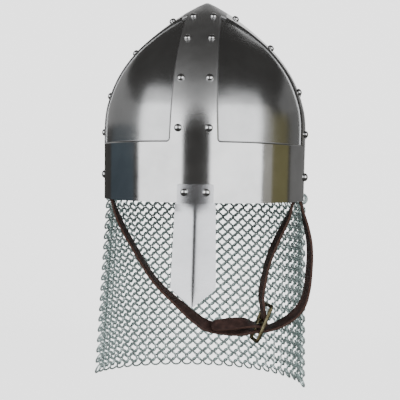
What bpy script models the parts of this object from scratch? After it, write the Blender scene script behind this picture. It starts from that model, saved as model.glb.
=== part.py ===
"""Norman helmet with a nasal, a hanging mail aventail and a buckled chin strap."""
import math

import bmesh
import bpy
import numpy as np
from mathutils import Vector
from mathutils.bvhtree import BVHTree

# Frame: the origin is the centre of the helmet's lower rim, +Z is up, the face looks along -Y.

# skull
HELMET_WIDTH = 0.205
HELMET_LENGTH = 0.2235
DOME_HEIGHT = 0.2025
BROW_HEIGHT = 0.055
FRAME_PLATE = 0.0014
PANEL_PLATE = 0.0014
FIT_GAP = 0.0003
FRONT_BAND_FOOT = 0.044
FRONT_BAND_CROWN = 0.034
SIDE_BAND_WIDTH = 0.060
CORNER_RADIUS = 0.0025
PANEL_LAP = 0.014
# rivets
RIVET_HEAD_RADIUS = 0.0036
RIVET_HEAD_HEIGHT = 0.0030
RIVET_SHOULDER = (0.62, 0.80)
RIVET_SHANK_RADIUS = 0.0017
RIVET_CLENCH_RADIUS = 0.0028
RIVET_CLENCH_HEIGHT = 0.0012
STRAP_RIVET_HEAD_RADIUS = 0.0042
HOLE_MARGIN = 0.003
STRAP_RIVET_HEIGHT = 0.024
STRAP_RIVET_FORWARD = 0.012
# nasal
NASAL_PLATE = 0.002
NASAL_TAB_WIDTH = 0.0324
NASAL_TAB_HEIGHT = 0.0165
NASAL_TOP_WIDTH = 0.0357
NASAL_LOW_WIDTH = 0.0395
NASAL_LENGTH = 0.0915
NASAL_POINT = 0.0155
NASAL_RIDGE = 0.0045
NASAL_RIDGE_RUN = 0.14
NASAL_BEND = 0.0008
NASAL_LEAN_DEG = 6.5
NASAL_SHIFT = 0.0026
NASAL_RIVET_HEIGHT = 0.0095
NASAL_RIVET_SPACING = 0.019
# mail
MAIL_DROP = 0.200
MAIL_WALL = 0.0045
MAIL_RING_RADIUS = 0.0053
MAIL_WIRE = 0.0021
MAIL_COLUMN_COUNT = 27
MAIL_PITCH = 0.0123
MAIL_PLAN_REACH_DEG = 117.0
MAIL_FLARE = 0.0055
MAIL_SWAY = 0.0033
MAIL_TOP_GAP = 0.0010
MAIL_SCALLOP = 0.0025
MAIL_RIGHT_RISE = 0.013
MAIL_LEFT_RISE = 0.007
HANGER_HEIGHT = 0.0015
HANGER_INSET = 0.0008
HANGER_HOLE_RADIUS = 0.0016
# chin strap
STRAP_WIDTH = 0.014
STRAP_THICKNESS = 0.0026
STRAP_DROP = 0.130
STRAP_SLOT = 0.004
STRAP_HEM = 0.009
STRAP_BAND_GAP = 0.0009
STRAP_TUCK = 0.006
STRAP_EASE = 0.020
STRAP_WRAP_DEG = (20.0, -95.0)
PRONG_WRAP_START_DEG = -50.0
# buckle
BUCKLE_LENGTH = 0.041
BUCKLE_WIDTH = 0.0270
BUCKLE_WIRE = 0.0038
BUCKLE_SLOPE_DEG = 67.0
BUCKLE_YAW_DEG = 18.0
PRONG_WIDTH = 0.0030
PRONG_THICKNESS = 0.0018
PRONG_PLAY = 0.0006
BUCKLE_CORNER_SHARE = 0.9
MIDDLE_BAR_SHARE = 0.98
PRONG_SHARE = 0.46

HALF_WIDTH = HELMET_WIDTH / 2
HALF_LENGTH = HELMET_LENGTH / 2
PANEL_SINK = FRAME_PLATE + FIT_GAP
STRAP_SINK = FRAME_PLATE + STRAP_BAND_GAP + STRAP_THICKNESS
UP = np.array((0.0, 0.0, 1.0))

# outline of the skull: share of the dome height, share of the half width
SKULL_PROFILE = (
    (0.000, 0.996), (0.200, 1.001), (0.300, 1.004), (0.380, 1.003), (0.440, 0.990), (0.500, 0.960),
    (0.560, 0.9185), (0.620, 0.8610), (0.680, 0.7850), (0.740, 0.6890), (0.800, 0.5680), (0.860, 0.4310),
    (0.920, 0.2780), (0.960, 0.1560), (0.985, 0.0720), (1.000, 0.0),
)
# rivet pairs on each band: share of the dome height, share of the band's half width
RIVET_PAIRS = ((0.330, 0.64), (0.559, 0.66), (0.763, 0.62), (0.898, 0.56))
# the side bands' pairs are set by hand: heights on the wearer's left and right, share of the half width
SIDE_RIVET_HEIGHTS = {"left": (0.330, 0.541, 0.759, 0.905), "right": (0.330, 0.515, 0.735, 0.895)}
SIDE_RIVET_SHARE = 0.50
# long strap: share of the half width, share of the drop, forward in metres, turn in degrees
LONG_STRAP = (
    (-0.915, 0.024, 0.012, 0), (-0.863, 0.136, 0.013, 4), (-0.774, 0.278, 0.013, 6),
    (-0.696, 0.375, 0.014, 6), (-0.602, 0.498, 0.014, 6), (-0.508, 0.608, 0.014, 8),
    (-0.398, 0.703, 0.015, 10), (-0.280, 0.785, 0.015, 14), (-0.187, 0.848, 0.015, 20),
    (-0.060, 0.930, 0.015, 28), (0.058, 0.987, 0.014, 36), (0.175, 1.008, 0.013, 38),
    (0.332, 1.018, 0.0125, 36), (0.450, 1.018, 0.0135, 22), (0.495, 1.012, 0.0145, 10),
    (0.548, 1.006, 0.015, 6), (0.620, 0.998, 0.0155, 6), (0.710, 0.977, 0.016, 8),
    (0.821, 0.933, 0.016, 14), (0.923, 0.871, 0.016, 18), (0.997, 0.788, 0.016, 20),
    (1.037, 0.675, 0.0155, 20), (1.053, 0.551, 0.0145, 20), (1.060, 0.433, 0.014, 18),
    (1.052, 0.313, 0.0135, 16), (1.022, 0.198, 0.013, 13), (0.992, 0.108, 0.012, 8),
    (0.969, 0.021, 0.012, 0),
)
# short strap: the same columns, from the rim down to the buckle
SHORT_STRAP = (
    (0.888, 0.022, 0.0125, 0), (0.852, 0.111, 0.013, -10), (0.790, 0.215, 0.0135, -16),
    (0.736, 0.305, 0.014, -19), (0.688, 0.395, 0.0145, -19), (0.650, 0.485, 0.015, -18),
    (0.625, 0.574, 0.015, -15), (0.604, 0.664, 0.015, -11), (0.592, 0.745, 0.015, -5),
    (0.603, 0.815, 0.015, 0),
)
# end of the short strap past the buckle: the same columns
SHORT_STRAP_END = (
    (0.515, 0.962, 0.016, -8), (0.450, 0.950, 0.0185, -26), (0.350, 0.954, 0.020, -38),
    (0.240, 0.966, 0.020, -38), (0.112, 0.979, 0.0195, -36),
)
BUCKLE_CENTRE = (0.595, 0.945, 0.015)

STEEL = (0.62, 0.63, 0.62)
MAIL_GREY = (0.55, 0.59, 0.58)
LEATHER = (0.090, 0.050, 0.038)
BRASS = (0.42, 0.34, 0.18)


def clear_scene():
    for item in list(bpy.data.objects):
        bpy.data.objects.remove(item, do_unlink=True)


def surface_material(name, colour, metallic, roughness):
    material = bpy.data.materials.new(name)
    material.use_nodes = True
    shader = material.node_tree.nodes["Principled BSDF"]
    shader.inputs["Base Color"].default_value = (*colour, 1.0)
    shader.inputs["Metallic"].default_value = metallic
    shader.inputs["Roughness"].default_value = roughness
    material.diffuse_color = (*colour, 1.0)
    return material


def steel(name):
    return surface_material(name, STEEL, 1.0, 0.28)


def leather(name):
    return surface_material(name, LEATHER, 0.0, 0.6)


def brass(name):
    return surface_material(name, BRASS, 1.0, 0.4)


def mail(name):
    return surface_material(name, MAIL_GREY, 1.0, 0.45)


def solid(name, points, faces, material=None, smooth_deg=None):
    """Makes a closed solid from points and faces, with its faces turned outward."""
    mesh = bpy.data.meshes.new(name)
    shape = bmesh.new()
    corners = [shape.verts.new(point) for point in points]
    for face in faces:
        shape.faces.new([corners[index] for index in face])
    bmesh.ops.recalc_face_normals(shape, faces=shape.faces)
    if shape.calc_volume(signed=True) < 0:
        bmesh.ops.reverse_faces(shape, faces=shape.faces)
    shape.to_mesh(mesh)
    shape.free()
    made = bpy.data.objects.new(name, mesh)
    bpy.context.scene.collection.objects.link(made)
    if material:
        mesh.materials.append(material)
    if smooth_deg:
        mesh.shade_smooth()
        mesh.set_sharp_from_angle(angle=math.radians(smooth_deg))
    return made


def shell(name, outer, inner, cells, material=None, smooth_deg=None):
    """Makes a walled sheet: both skins of each named cell, and walls along the open edges.

    outer and inner are grids of points; cells lists (row, column, next column).
    """
    points = []
    known = {}

    def corner(grid, row, column):
        key = tuple(np.round(grid[row][column] * 1e7).astype(int))
        if key not in known:
            known[key] = len(points)
            points.append(grid[row][column])
        return known[key]

    faces = []
    edges = {}
    for row, column, after in cells:
        ring = ((row, column), (row, after), (row + 1, after), (row + 1, column))
        top = [corner(outer, *spot) for spot in ring]
        low = [corner(inner, *spot) for spot in ring]
        top_face = [index for place, index in enumerate(top) if index != top[place - 1]]
        low_face = [index for place, index in enumerate(low) if index != low[place - 1]]
        if len(set(top_face)) < 3:
            continue
        for last in range(2, len(top_face)):
            faces.append([top_face[0], top_face[last - 1], top_face[last]])
            faces.append([low_face[0], low_face[last], low_face[last - 1]])
        for place in range(4):
            first, second = top[place - 1], top[place]
            if first != second:
                edges[(first, second)] = (low[place - 1], low[place])
    for (first, second), (low_first, low_second) in edges.items():
        if (second, first) not in edges:
            faces.append([second, first, low_first, low_second])
    return solid(name, points, faces, material, smooth_deg)


def lathe(name, foot, axis, profile, sides, material=None, smooth_deg=None):
    """Turns a list of (radius, height) about an axis; a zero radius makes a pole."""
    across, along = cross_axes(axis)
    points = []
    rings = []
    for radius, height in profile:
        centre = foot + axis * height
        if radius == 0.0:
            rings.append([len(points)])
            points.append(centre)
            continue
        start = len(points)
        for step in range(sides):
            angle = 2 * math.pi * step / sides
            points.append(centre + across * radius * math.cos(angle) + along * radius * math.sin(angle))
        rings.append(list(range(start, start + sides)))
    faces = []
    for low, high in zip(rings, rings[1:]):
        for step in range(sides):
            after = (step + 1) % sides
            if len(low) == 1:
                faces.append((low[0], high[after], high[step]))
            elif len(high) == 1:
                faces.append((low[step], low[after], high[0]))
            else:
                faces.append((low[step], low[after], high[after], high[step]))
    return solid(name, points, faces, material, smooth_deg)


def cross_axes(axis):
    """Two unit directions square to an axis, the second as near to straight up as it can be."""
    guide = UP if abs(axis[2]) < 0.95 else np.array((0.0, -1.0, 0.0))
    across = np.cross(guide, axis)
    across /= np.linalg.norm(across)
    return across, np.cross(axis, across)


def joined(name, pieces):
    """Joins solids that don't touch into one tool for a cut or a weld."""
    shape = bmesh.new()
    for piece in pieces:
        shape.from_mesh(piece.data)
        bpy.data.objects.remove(piece, do_unlink=True)
    mesh = bpy.data.meshes.new(name)
    shape.to_mesh(mesh)
    shape.free()
    tool = bpy.data.objects.new(name, mesh)
    tool.hide_render = True
    tool.display_type = "WIRE"
    bpy.context.scene.collection.objects.link(tool)
    return tool


def combine(piece, tools, operation):
    """Cuts the tools from the piece, or welds them to it, and removes them."""
    tool = joined(piece.name + "_tool", tools)
    change = piece.modifiers.new("change", "BOOLEAN")
    change.operation = operation
    change.solver = "EXACT"
    change.object = tool
    graph = bpy.context.evaluated_depsgraph_get()
    result = bpy.data.meshes.new_from_object(piece.evaluated_get(graph))
    piece.modifiers.remove(change)
    piece.data = result
    bpy.data.objects.remove(tool, do_unlink=True)


def hermite(knots, values, spots):
    """Smooth curve through the values at the knots, read at the spots."""
    knots = np.asarray(knots, float)
    values = np.asarray(values, float)
    steps = np.diff(knots)[:, None]
    slopes = np.diff(values, axis=0) / steps
    rates = np.empty_like(values)
    rates[1:-1] = (slopes[:-1] * steps[1:] + slopes[1:] * steps[:-1]) / (steps[1:] + steps[:-1])
    rates[0] = slopes[0]
    rates[-1] = slopes[-1]
    place = np.clip(np.searchsorted(knots, spots, side="right") - 1, 0, len(knots) - 2)
    step = steps[place]
    share = ((spots - knots[place]) / steps[place][:, 0])[:, None]
    start = (1 + 2 * share) * (1 - share) ** 2 * values[place]
    start = start + share * (1 - share) ** 2 * step * rates[place]
    end = share ** 2 * (3 - 2 * share) * values[place + 1]
    return start + end + share ** 2 * (share - 1) * step * rates[place + 1]


def travel(points):
    """Distance run along a line of points."""
    return np.concatenate(([0.0], np.cumsum(np.linalg.norm(np.diff(points, axis=0), axis=1))))


class Skull:
    """The helmet's outer surface: an oval section that follows the profile up to the crown."""

    def __init__(self):
        table = np.array(SKULL_PROFILE)
        outline = np.column_stack((table[:, 1] * HALF_WIDTH, table[:, 0] * DOME_HEIGHT))
        mirror = outline[-2] * (-1.0, 1.0)
        outline = np.vstack((outline, mirror))
        knots = travel(outline)
        self.run = np.linspace(0.0, knots[-2], 600)
        curve = hermite(knots, outline, self.run)
        curve[-1] = outline[-2]
        self.share = curve[:, 0] / HALF_WIDTH
        self.height = curve[:, 1]
        self.share_rate = np.gradient(self.share, self.run)
        self.height_rate = np.gradient(self.height, self.run)
        self.height_rate[-1] = 0.0

    def run_at(self, height):
        return float(np.interp(height, self.height, self.run))

    def share_at(self, run):
        return float(np.interp(run, self.run, self.share))

    def height_at(self, run):
        return float(np.interp(run, self.run, self.height))

    def normal(self, angle, run):
        rise = float(np.interp(run, self.run, self.height_rate))
        shrink = float(np.interp(run, self.run, self.share_rate))
        side = np.array((math.sin(angle) / HALF_WIDTH * rise, -math.cos(angle) / HALF_LENGTH * rise, -shrink))
        return side / np.linalg.norm(side)

    def point(self, angle, run, sink=0.0):
        """The point at an angle from the front and a run up from the rim, sunk under the surface."""
        share = self.share_at(run)
        spot = np.array((HALF_WIDTH * share * math.sin(angle), -HALF_LENGTH * share * math.cos(angle),
                         self.height_at(run)))
        return spot - self.normal(angle, run) * sink


SKULL = Skull()
ARM_COLUMN_COUNT = 6
GAP_COLUMN_COUNT = 5
ARM_ROW_COUNT = 7
CROWN_ROW_COUNT = 4
ARM_ANGLES = (0.0, math.pi / 2, math.pi, 3 * math.pi / 2)


def crossing():
    """Angle and run of the corner where a front band's edge meets a side band's edge."""
    across = FRONT_BAND_CROWN / 2 / HALF_WIDTH
    along = SIDE_BAND_WIDTH / 2 / HALF_LENGTH
    share = math.hypot(across, along)
    order = np.argsort(SKULL.share[300:])
    run = float(np.interp(share, SKULL.share[300:][order], SKULL.run[300:][order]))
    return math.atan2(across, along), run


CROSSING_ANGLE, CROSSING_RUN = crossing()


def band_sine(arm, run):
    """Sine of the angle from a band's middle to its edge at a run up the skull."""
    share = max(SKULL.share_at(run), 1e-9)
    height = SKULL.height_at(run)
    if arm % 2:
        return min(SIDE_BAND_WIDTH / 2 / (HALF_LENGTH * share), math.cos(CROSSING_ANGLE))
    climb = (height - BROW_HEIGHT) / (SKULL.height_at(CROSSING_RUN) - BROW_HEIGHT)
    climb = min(max(climb, 0.0), 1.0)
    width = FRONT_BAND_FOOT + (FRONT_BAND_CROWN - FRONT_BAND_FOOT) * climb
    rise = min(max(height - BROW_HEIGHT, 0.0), CORNER_RADIUS)
    corner = CORNER_RADIUS - math.sqrt(CORNER_RADIUS ** 2 - (CORNER_RADIUS - rise) ** 2)
    return min((width / 2 + corner) / (HALF_WIDTH * share), math.sin(CROSSING_ANGLE))


def row_angles(run):
    """Angles of the columns of one row, from the left edge of the front band all the way round."""
    edges = [math.asin(band_sine(arm, run)) for arm in range(4)]
    angles = []
    for arm, middle in enumerate(ARM_ANGLES):
        edge_sine = band_sine(arm, run)
        for step in range(ARM_COLUMN_COUNT + 1):
            angles.append(middle + math.asin(edge_sine * (2 * step / ARM_COLUMN_COUNT - 1)))
        start = middle + edges[arm]
        reach = max(math.pi / 2 - edges[arm] - edges[(arm + 1) % 4], 0.0)
        for step in range(1, GAP_COLUMN_COUNT):
            angles.append(start + reach * step / GAP_COLUMN_COUNT)
    return angles


def skull_runs():
    """Runs of the rows that the frame and the panels share."""
    brow = SKULL.run_at(BROW_HEIGHT)
    runs = [SKULL.run_at(0.0), SKULL.run_at(BROW_HEIGHT - PANEL_LAP), brow]
    runs += [SKULL.run_at(BROW_HEIGHT + CORNER_RADIUS * share) for share in (0.3, 1.0)]
    foot = runs[-1]
    runs += [foot + (CROSSING_RUN - foot) * row / ARM_ROW_COUNT for row in range(1, ARM_ROW_COUNT + 1)]
    top = float(SKULL.run[-1])
    crown_step = (top - CROSSING_RUN) / CROWN_ROW_COUNT
    runs += [CROSSING_RUN + crown_step * row for row in range(1, CROWN_ROW_COUNT + 1)]
    return runs


RUNS = skull_runs()
BROW_ROW_INDEX = 2
COLUMN_COUNT = 4 * (ARM_COLUMN_COUNT + GAP_COLUMN_COUNT)


def skull_grid(sink):
    return [[SKULL.point(angle, run, sink) for angle in row_angles(run)] for run in RUNS]


def make_frame():
    """Brow band with the four bands that rise from it and join at the crown, as one welded piece."""
    cells = []
    for row in range(len(RUNS) - 1):
        for column in range(COLUMN_COUNT):
            on_arm = column % (ARM_COLUMN_COUNT + GAP_COLUMN_COUNT) < ARM_COLUMN_COUNT
            if row < BROW_ROW_INDEX or on_arm:
                cells.append((row, column, (column + 1) % COLUMN_COUNT))
    return shell("frame", skull_grid(0.0), skull_grid(FRAME_PLATE), cells, steel("frame_steel"), 35)


def make_panel(name, quarter):
    """One of the four skull plates that lie behind the frame."""
    first = quarter * (ARM_COLUMN_COUNT + GAP_COLUMN_COUNT) + ARM_COLUMN_COUNT * 2 // 3
    last = (quarter + 1) * (ARM_COLUMN_COUNT + GAP_COLUMN_COUNT) + ARM_COLUMN_COUNT // 3
    top_row = BROW_ROW_INDEX + 2 + ARM_ROW_COUNT + 1
    outer = skull_grid(PANEL_SINK)
    inner = skull_grid(PANEL_SINK + PANEL_PLATE)
    cells = [(row, column % COLUMN_COUNT, (column + 1) % COLUMN_COUNT)
             for row in range(1, top_row) for column in range(first, last)]
    return shell(name, outer, inner, cells, steel(name + "_steel"), 35)


def rivet_seats():
    """Name, point and direction of each rivet of the skull."""
    seats = []
    for arm, side in enumerate(("front", "left", "back", "right")):
        for level, (height_share, share) in enumerate(RIVET_PAIRS, 1):
            if side in SIDE_RIVET_HEIGHTS:
                height_share, share = SIDE_RIVET_HEIGHTS[side][level - 1], SIDE_RIVET_SHARE
            run = SKULL.run_at(height_share * DOME_HEIGHT)
            for mark, sign in (("a", -1), ("b", 1)):
                angle = ARM_ANGLES[arm] + sign * math.asin(band_sine(arm, run) * share)
                spot = (SKULL.point(angle, run), SKULL.normal(angle, run))
                seats.append((f"rivet_{side}_{level}{mark}", *spot))
    return seats


def brow_seat(across, height):
    """Point and direction on the front of the brow band."""
    run = SKULL.run_at(height)
    angle = math.asin(across / (HALF_WIDTH * SKULL.share_at(run)))
    return SKULL.point(angle, run), SKULL.normal(angle, run)


def strap_seat(side):
    """Point and direction on the side of the brow band where a strap is riveted."""
    run = SKULL.run_at(STRAP_RIVET_HEIGHT)
    angle = side * math.acos(STRAP_RIVET_FORWARD / (HALF_LENGTH * SKULL.share_at(run)))
    return SKULL.point(angle, run), SKULL.normal(angle, run)


def make_rivet(name, point, normal, above, below, head_radius):
    """Domed head over the outer sheet, a shank, and a clenched end inside."""
    head = above + FIT_GAP
    seat = -(below + FIT_GAP)
    height = RIVET_HEAD_HEIGHT * head_radius / RIVET_HEAD_RADIUS
    shoulder_radius, shoulder_height = RIVET_SHOULDER
    profile = (
        (0.0, head + height), (head_radius * shoulder_radius, head + height * shoulder_height),
        (head_radius, head), (RIVET_SHANK_RADIUS, head), (RIVET_SHANK_RADIUS, seat),
        (RIVET_CLENCH_RADIUS, seat), (0.0, seat - RIVET_CLENCH_HEIGHT),
    )
    return lathe(name, point, normal, profile, 6, steel(name + "_steel"), 50)


def hole_tool(point, normal, depth, radius=RIVET_SHANK_RADIUS + FIT_GAP):
    """Straight cutter for a hole through the sheets under a point."""
    foot = -depth - HOLE_MARGIN
    profile = ((0.0, HOLE_MARGIN), (radius, HOLE_MARGIN), (radius, foot), (0.0, foot))
    return lathe("hole", point, normal, profile, 6)


def make_nasal():
    """Nose guard: a tab that lies on the brow band, and a ridged blade that ends in a point."""
    lean = math.tan(math.radians(NASAL_LEAN_DEG))
    straight = NASAL_LENGTH - NASAL_POINT
    tab = NASAL_TAB_WIDTH / 2
    rows = [(NASAL_TAB_HEIGHT, tab), (NASAL_TAB_HEIGHT / 2, tab), (NASAL_BEND / 2, tab),
            (-NASAL_BEND, NASAL_TOP_WIDTH / 2)]
    for share in (NASAL_RIDGE_RUN, 0.4, 0.7, 1.0):
        width = NASAL_TOP_WIDTH + (NASAL_LOW_WIDTH - NASAL_TOP_WIDTH) * share
        rows.append((-straight * share, width / 2))
    rows.append((-NASAL_LENGTH, 0.0))
    front = []
    back = []
    for height, half in rows:
        low = max(-height, 0.0)
        ridge = min(low / (straight * NASAL_RIDGE_RUN), 1.0)
        back_row = []
        front_row = []
        for share in (-1.0, -0.5, 0.0, 0.5, 1.0):
            across = share * half + NASAL_SHIFT
            run = SKULL.run_at(max(height, 0.0))
            reach = HALF_WIDTH * SKULL.share_at(run) + FIT_GAP
            depth = HALF_LENGTH * SKULL.share_at(run) + FIT_GAP * 1.5
            curved = -depth * math.sqrt(1 - (across / reach) ** 2)
            fold = -depth + NASAL_RIDGE * abs(share) * half * 2 / NASAL_LOW_WIDTH
            place = curved + (fold - curved) * ridge - low * lean
            back_row.append(np.array((across, place, height)))
            front_row.append(np.array((across, place - NASAL_PLATE, height)))
        back.append(back_row)
        front.append(front_row)
    cells = [(row, column, column + 1) for row in range(len(rows) - 1) for column in range(4)]
    return shell("nasal", front, back, cells, steel("nasal_steel"), 25)


def mail_plan(drop):
    """Half width, half length and side shift of the mail's middle line at a share of its drop."""
    half_width = HALF_WIDTH * SKULL_PROFILE[0][1] - FRAME_PLATE / 2
    half_length = HALF_LENGTH * SKULL_PROFILE[0][1] - FRAME_PLATE / 2
    return half_width + MAIL_FLARE * drop, half_length - MAIL_FLARE * drop, -MAIL_SWAY * drop


def mail_spot(along, drop):
    """Plan point and outward direction at a distance along the mail from the middle of the back."""
    half_width, half_length, shift = mail_plan(drop)
    reach = math.radians(MAIL_PLAN_REACH_DEG)
    angles = np.linspace(-reach, reach, 721)
    line = np.column_stack((half_width * np.sin(angles), half_length * np.cos(angles)))
    run = travel(line)
    run -= run[len(run) // 2]
    angle = float(np.interp(along, run, angles))
    point = np.array((half_width * math.sin(angle) + shift, half_length * math.cos(angle), 0.0))
    outward = np.array((math.sin(angle) / half_width, math.cos(angle) / half_length, 0.0))
    return point, outward / np.linalg.norm(outward)


def hanger_spots():
    """Centre and outward direction of each ring that hangs from the brow band."""
    spots = []
    for column in range(MAIL_COLUMN_COUNT):
        along = (column - (MAIL_COLUMN_COUNT - 1) / 2) * MAIL_PITCH
        point, outward = mail_spot(along, 0.0)
        spots.append((point + UP * HANGER_HEIGHT - outward * HANGER_INSET, outward))
    return spots


def make_hanger(centre, outward):
    """Six-sided ring that stands square to the band."""
    points = []
    for corner in range(6):
        angle = math.radians(60 * corner)
        spoke = outward * math.cos(angle) + UP * math.sin(angle)
        side = np.cross(UP, outward)
        for turn in range(3):
            tilt = math.radians(120 * turn)
            offset = spoke * math.cos(tilt) + side * math.sin(tilt)
            points.append(centre + spoke * MAIL_RING_RADIUS + offset * MAIL_WIRE / 2)
    faces = []
    for corner in range(6):
        for turn in range(3):
            here = corner * 3
            after = (corner + 1) % 6 * 3
            other = (turn + 1) % 3
            faces.append((here + turn, here + other, after + other, after + turn))
    return solid("hanger", points, faces)


def make_aventail():
    """Mail curtain as one woven-band solid, with the rings that hang it from the brow band."""
    rows = (0.0, 1.0)
    count = 2 * MAIL_COLUMN_COUNT
    outer = []
    inner = []
    for row in rows:
        outer_row = []
        inner_row = []
        for step in range(count + 1):
            along = (step - count / 2) * MAIL_PITCH / 2
            point, outward = mail_spot(along, row)
            side = 2 * step / count - 1
            rise = (MAIL_RIGHT_RISE if side < 0 else MAIL_LEFT_RISE) * side ** 2
            low = MAIL_DROP - rise - (MAIL_SCALLOP if step % 2 == 0 else 0.0)
            height = -MAIL_TOP_GAP - (low - MAIL_TOP_GAP) * row
            middle = point + UP * height
            outer_row.append(middle + outward * MAIL_WALL / 2)
            inner_row.append(middle - outward * MAIL_WALL / 2)
        outer.append(outer_row)
        inner.append(inner_row)
    cells = [(row, step, step + 1) for row in range(len(rows) - 1) for step in range(count)]
    curtain = shell("aventail", outer, inner, cells, mail("aventail_mail"))
    combine(curtain, [make_hanger(*spot) for spot in hanger_spots()], "UNION")
    return curtain


def ribbon(name, path, turns, width, thickness, material=None):
    """Sweeps a flat strip along a path; each turn tilts its width, each yaw swings it sideways."""
    path = np.asarray(path)
    tangents = np.gradient(path, axis=0)
    top = []
    low = []
    for point, tangent, (turn, yaw) in zip(path, tangents, turns):
        tangent = tangent / np.linalg.norm(tangent)
        side = np.array((-math.sin(yaw), math.cos(yaw), 0.0))
        side -= tangent * side.dot(tangent)
        side /= np.linalg.norm(side)
        face = np.cross(tangent, side)
        side, face = (side * math.cos(turn) + face * math.sin(turn),
                      face * math.cos(turn) - side * math.sin(turn))
        half_width = side * width / 2
        half_wall = face * thickness / 2
        top.append([point - half_width + half_wall, point + half_width + half_wall])
        low.append([point - half_width - half_wall, point + half_width - half_wall])
    cells = [(row, 0, 1) for row in range(len(path) - 1)]
    return shell(name, top, low, cells, material, 40)


def strap_table(table):
    """Points and turns of a strap's table, in metres and radians."""
    points = [np.array((across * HALF_WIDTH, -forward, -drop * STRAP_DROP))
              for across, drop, forward, turn in table]
    return points, [math.radians(turn) for *_, turn in table]


def smooth_path(points, turns, per_step):
    """Smooth line through the points, with the turns carried along it."""
    knots = travel(np.array(points))
    spots = np.concatenate([np.linspace(a, b, per_step, endpoint=False) for a, b in zip(knots, knots[1:])]
                           + [knots[-1:]])
    return hermite(knots, points, spots), np.interp(spots, knots, turns)


def band_lining(side, forward, height):
    """Middle of a strap that lies against the inside of the brow band."""
    run = SKULL.run_at(height)
    angle = side * math.acos(forward / (HALF_LENGTH * SKULL.share_at(run)))
    return SKULL.point(angle, run, STRAP_SINK - STRAP_THICKNESS / 2)


def riveted_start(side):
    """Top end of a strap, from above its rivet down to the rivet's lower edge."""
    heights = (STRAP_RIVET_HEIGHT + STRAP_HEM, STRAP_RIVET_HEIGHT, STRAP_RIVET_HEIGHT - STRAP_HEM)
    return [band_lining(side, STRAP_RIVET_FORWARD, height) for height in heights]


def buckle_axes():
    """Centre of the buckle, the direction down its length, and the direction of its bars."""
    slope = math.radians(BUCKLE_SLOPE_DEG)
    yaw = math.radians(BUCKLE_YAW_DEG)
    across, drop, forward = BUCKLE_CENTRE
    centre = np.array((across * HALF_WIDTH, -forward, -drop * STRAP_DROP))
    bar = np.array((-math.sin(yaw), math.cos(yaw), 0.0))
    level = np.array((-math.cos(yaw), -math.sin(yaw), 0.0))
    down = level * math.cos(slope) - UP * math.sin(slope)
    return centre, down, bar


def around_bar(radius, first_deg, last_deg, steps):
    """Points round the buckle's middle bar, by angle from the side that faces away from the nose."""
    centre, _, bar = buckle_axes()
    level = np.cross(bar, UP)
    points = []
    for step in range(steps + 1):
        angle = math.radians(first_deg + (last_deg - first_deg) * step / steps)
        points.append(centre + (level * math.cos(angle) + UP * math.sin(angle)) * radius)
    return points


def make_long_strap():
    """Strap riveted at one side that passes through the buckle and tucks in behind the rim."""
    points, turns = strap_table(LONG_STRAP)
    start = riveted_start(-1)
    tuck = [band_lining(1, STRAP_RIVET_FORWARD, height) for height in (STRAP_TUCK / 3, STRAP_TUCK)]
    points = start + points + tuck
    turns = [0.0] * len(start) + turns + [0.0] * len(tuck)
    path, turns = smooth_path(points, turns, 2)
    yaws = strap_yaws(path)
    strap = ribbon("strap_long", path, list(zip(turns, yaws)), STRAP_WIDTH, STRAP_THICKNESS,
                   leather("strap_long_leather"))
    point, normal = strap_seat(-1)
    tools = [hole_tool(point, normal, STRAP_SINK), prong_strip("prong_hole", PRONG_PLAY)]
    combine(strap, tools, "DIFFERENCE")
    return strap


def strap_yaws(path):
    """Yaw of a strap's width at each point: square to the band at the rim, and to the bar at the buckle."""
    path = np.asarray(path)
    centre, _, _ = buckle_axes()
    away = np.linalg.norm(path - centre, axis=1)
    near_buckle = np.clip(1.0 - (away - BUCKLE_LENGTH * 0.3) / BUCKLE_LENGTH, 0.0, 1.0)
    _, normal = strap_seat(1)
    near_rim = np.clip(1.0 + path[:, 2] / STRAP_EASE, 0.0, 1.0)
    band_yaw = math.atan2(normal[1], normal[0]) * np.sign(path[:, 0])
    return np.radians(BUCKLE_YAW_DEG) * near_buckle + band_yaw * near_rim


def make_short_strap():
    """Strap riveted at the other side, turned round the buckle's middle bar, its end on the long strap."""
    points, turns = strap_table(SHORT_STRAP)
    end_points, end_turns = strap_table(SHORT_STRAP_END)
    start = riveted_start(1)
    radius = BUCKLE_WIRE / 2 + FIT_GAP + STRAP_THICKNESS / 2
    wrap = around_bar(radius, *STRAP_WRAP_DEG, 5)
    first_path, first_turns = smooth_path(start + points, [0.0] * len(start) + turns, 2)
    end_path, end_turns = smooth_path(end_points, end_turns, 2)
    path = np.vstack((first_path, wrap, end_path))
    turns = np.concatenate((first_turns, np.zeros(len(wrap)), end_turns))
    yaws = strap_yaws(path)
    strap = ribbon("strap_short", path, list(zip(turns, yaws)), STRAP_WIDTH, STRAP_THICKNESS,
                   leather("strap_short_leather"))
    point, normal = strap_seat(1)
    tools = [hole_tool(point, normal, STRAP_SINK), slot_tool()]
    combine(strap, tools, "DIFFERENCE")
    return strap


def slot_tool():
    """Cutter for the slot that lets the prong out of the short strap's fold."""
    centre, _, bar = buckle_axes()
    level = np.cross(bar, UP)
    reach = BUCKLE_WIRE / 2 + FIT_GAP + STRAP_THICKNESS + PRONG_PLAY
    half = PRONG_WIDTH / 2 + PRONG_PLAY
    path = [centre - level * (reach + STRAP_SLOT), centre + level * reach]
    return ribbon("slot", path, [(0.0, math.radians(BUCKLE_YAW_DEG))] * 2, 2 * half, 2 * reach)


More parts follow.
